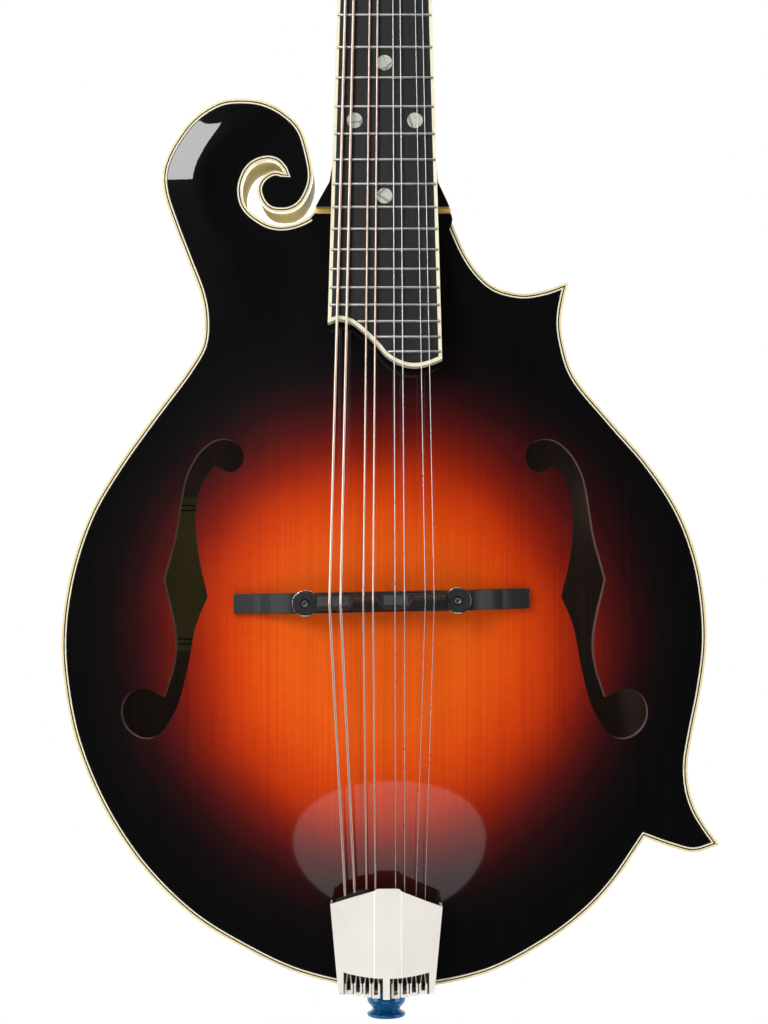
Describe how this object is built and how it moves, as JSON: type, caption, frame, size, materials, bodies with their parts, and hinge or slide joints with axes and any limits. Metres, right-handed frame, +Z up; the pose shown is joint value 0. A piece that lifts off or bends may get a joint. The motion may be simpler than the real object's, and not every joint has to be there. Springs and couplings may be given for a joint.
{
  "type": "mandolin",
  "caption": "F-style mandolin with scroll, two body points, carved arched top, f-holes, movable bridge, tailpiece and geared tuners.",
  "frame": {"origin": "inside the neck at the nut's line, where a wall hanger's yoke carries the instrument", "axes": "+Z up along the neck, -Y out of the front of the body, +X to the treble side"},
  "size_m": [0.2506, 0.1113, 0.6734],
  "materials": {
    "sunburst_spruce": "gloss lacquer, orange centre to black edge",
    "sunburst_maple": "gloss lacquer",
    "bare_wood": "bare",
    "black_lacquer": "gloss black lacquer",
    "ebony": "satin",
    "ivoroid": "satin",
    "pearl": "gloss",
    "nickel": "polished",
    "brass": "satin",
    "steel": "satin",
    "bronze": "wound wire",
    "blue_metal": "anodised blue"
  },
  "bodies": {
    "instrument": {"top_plate": "sunburst_spruce", "back_plate": "sunburst_maple", "rib_bass": "sunburst_maple", "rib_treble_upper": "sunburst_maple", "rib_treble_waist": "sunburst_maple", "rib_treble_lower": "sunburst_maple", "top_binding": "ivoroid", "back_binding": "ivoroid", "top_lining": "bare_wood", "back_lining": "bare_wood", "head_block": "bare_wood", "tail_block": "bare_wood", "upper_point_block": "bare_wood", "lower_point_block": "bare_wood", "tone_bar_bass": "bare_wood", "tone_bar_treble": "bare_wood", "neck": "black_lacquer", "truss_rod": "steel", "truss_rod_cover": "ebony", "fingerboard": "ebony", "fingerboard_binding": "ivoroid", "nut": "ivoroid", "headstock_overlay": "black_lacquer", "tuner_plate_bass": "nickel", "tuner_plate_treble": "nickel", "bridge_base": "ebony", "bridge_stud_bass": "steel", "bridge_stud_treble": "steel", "tailpiece_base": "nickel", "strap_button": "blue_metal", "string_1": "bronze", "string_2": "bronze", "string_3": "bronze", "string_4": "bronze", "string_5": "steel", "string_6": "steel", "string_7": "steel", "string_8": "steel"},
    "knob_1": {"tuner_knob_1": "pearl"},
    "post_1": {"tuner_post_1": "nickel"},
    "knob_2": {"tuner_knob_2": "pearl"},
    "post_2": {"tuner_post_2": "nickel"},
    "knob_3": {"tuner_knob_3": "pearl"},
    "post_3": {"tuner_post_3": "nickel"},
    "knob_4": {"tuner_knob_4": "pearl"},
    "post_4": {"tuner_post_4": "nickel"},
    "knob_5": {"tuner_knob_5": "pearl"},
    "post_5": {"tuner_post_5": "nickel"},
    "knob_6": {"tuner_knob_6": "pearl"},
    "post_6": {"tuner_post_6": "nickel"},
    "knob_7": {"tuner_knob_7": "pearl"},
    "post_7": {"tuner_post_7": "nickel"},
    "knob_8": {"tuner_knob_8": "pearl"},
    "post_8": {"tuner_post_8": "nickel"},
    "saddle": {"bridge_saddle": "ebony"},
    "wheel_bass": {"thumbwheel_bass": "brass"},
    "wheel_treble": {"thumbwheel_treble": "brass"},
    "cover": {"tailpiece_cover": "nickel"},
    "rod_nut": {"truss_rod_nut": "brass"}
  },
  "joints": [
    {"name": "tuner_1_knob", "type": "hinge", "parent": "instrument", "child": "knob_1", "pos_m": [-0.019, 0.02086, 0.02553], "axis": [1, 0, 0], "continuous": true},
    {"name": "tuner_1_post", "type": "hinge", "parent": "instrument", "child": "post_1", "pos_m": [-0.019, 0.02319, 0.03176], "axis": [0, 0.9367, -0.3502], "continuous": true},
    {"name": "tuner_2_knob", "type": "hinge", "parent": "instrument", "child": "knob_2", "pos_m": [-0.019, 0.02891, 0.04708], "axis": [1, 0, 0], "continuous": true},
    {"name": "tuner_2_post", "type": "hinge", "parent": "instrument", "child": "post_2", "pos_m": [-0.019, 0.03124, 0.0533], "axis": [0, 0.9367, -0.3502], "continuous": true},
    {"name": "tuner_3_knob", "type": "hinge", "parent": "instrument", "child": "knob_3", "pos_m": [-0.019, 0.03697, 0.06862], "axis": [1, 0, 0], "continuous": true},
    {"name": "tuner_3_post", "type": "hinge", "parent": "instrument", "child": "post_3", "pos_m": [-0.019, 0.03929, 0.07485], "axis": [0, 0.9367, -0.3502], "continuous": true},
    {"name": "tuner_4_knob", "type": "hinge", "parent": "instrument", "child": "knob_4", "pos_m": [-0.019, 0.04502, 0.09016], "axis": [1, 0, 0], "continuous": true},
    {"name": "tuner_4_post", "type": "hinge", "parent": "instrument", "child": "post_4", "pos_m": [-0.019, 0.04735, 0.09639], "axis": [0, 0.9367, -0.3502], "continuous": true},
    {"name": "tuner_5_knob", "type": "hinge", "parent": "instrument", "child": "knob_5", "pos_m": [0.019, 0.02086, 0.02553], "axis": [1, 0, 0], "continuous": true},
    {"name": "tuner_5_post", "type": "hinge", "parent": "instrument", "child": "post_5", "pos_m": [0.019, 0.02319, 0.03176], "axis": [0, 0.9367, -0.3502], "continuous": true},
    {"name": "tuner_6_knob", "type": "hinge", "parent": "instrument", "child": "knob_6", "pos_m": [0.019, 0.02891, 0.04708], "axis": [1, 0, 0], "continuous": true},
    {"name": "tuner_6_post", "type": "hinge", "parent": "instrument", "child": "post_6", "pos_m": [0.019, 0.03124, 0.0533], "axis": [0, 0.9367, -0.3502], "continuous": true},
    {"name": "tuner_7_knob", "type": "hinge", "parent": "instrument", "child": "knob_7", "pos_m": [0.019, 0.03697, 0.06862], "axis": [1, 0, 0], "continuous": true},
    {"name": "tuner_7_post", "type": "hinge", "parent": "instrument", "child": "post_7", "pos_m": [0.019, 0.03929, 0.07485], "axis": [0, 0.9367, -0.3502], "continuous": true},
    {"name": "tuner_8_knob", "type": "hinge", "parent": "instrument", "child": "knob_8", "pos_m": [0.019, 0.04502, 0.09016], "axis": [1, 0, 0], "continuous": true},
    {"name": "tuner_8_post", "type": "hinge", "parent": "instrument", "child": "post_8", "pos_m": [0.019, 0.04735, 0.09639], "axis": [0, 0.9367, -0.3502], "continuous": true},
    {"name": "saddle_height", "type": "slide", "parent": "instrument", "child": "saddle", "axis": [0, -1, 0], "range_m": [0, 0.003], "deforming": ["string_1", "string_2", "string_3", "string_4", "string_5", "string_6", "string_7", "string_8"]},
    {"name": "thumbwheel_bass_turn", "type": "hinge", "parent": "saddle", "child": "wheel_bass", "pos_m": [-0.02959, -0.039, -0.35295], "axis": [0, -1, 0], "range_deg": [0, 1560]},
    {"name": "thumbwheel_treble_turn", "type": "hinge", "parent": "saddle", "child": "wheel_treble", "pos_m": [0.02739, -0.039, -0.35185], "axis": [0, -1, 0], "range_deg": [0, 1560]},
    {"name": "tailpiece_cover_slide", "type": "slide", "parent": "instrument", "child": "cover", "axis": [0, -0.1501, 0.9887], "range_m": [0, 0.04]},
    {"name": "truss_rod_adjust", "type": "hinge", "parent": "instrument", "child": "rod_nut", "pos_m": [0, 0.00204, 0.01441], "axis": [0, -0.0958, -0.9954], "range_deg": [-180, 180]}
  ],
  "couplings": [
    {"joint": "tuner_1_post", "follows": "tuner_1_knob", "ratio": 0.0625},
    {"joint": "tuner_2_post", "follows": "tuner_2_knob", "ratio": 0.0625},
    {"joint": "tuner_3_post", "follows": "tuner_3_knob", "ratio": 0.0625},
    {"joint": "tuner_4_post", "follows": "tuner_4_knob", "ratio": 0.0625},
    {"joint": "tuner_5_post", "follows": "tuner_5_knob", "ratio": 0.0625},
    {"joint": "tuner_6_post", "follows": "tuner_6_knob", "ratio": 0.0625},
    {"joint": "tuner_7_post", "follows": "tuner_7_knob", "ratio": 0.0625},
    {"joint": "tuner_8_post", "follows": "tuner_8_knob", "ratio": 0.0625},
    {"joint": "thumbwheel_bass_turn", "follows": "saddle_height", "rad_per_m": 8976},
    {"joint": "thumbwheel_treble_turn", "follows": "saddle_height", "rad_per_m": 8976}
  ]
}
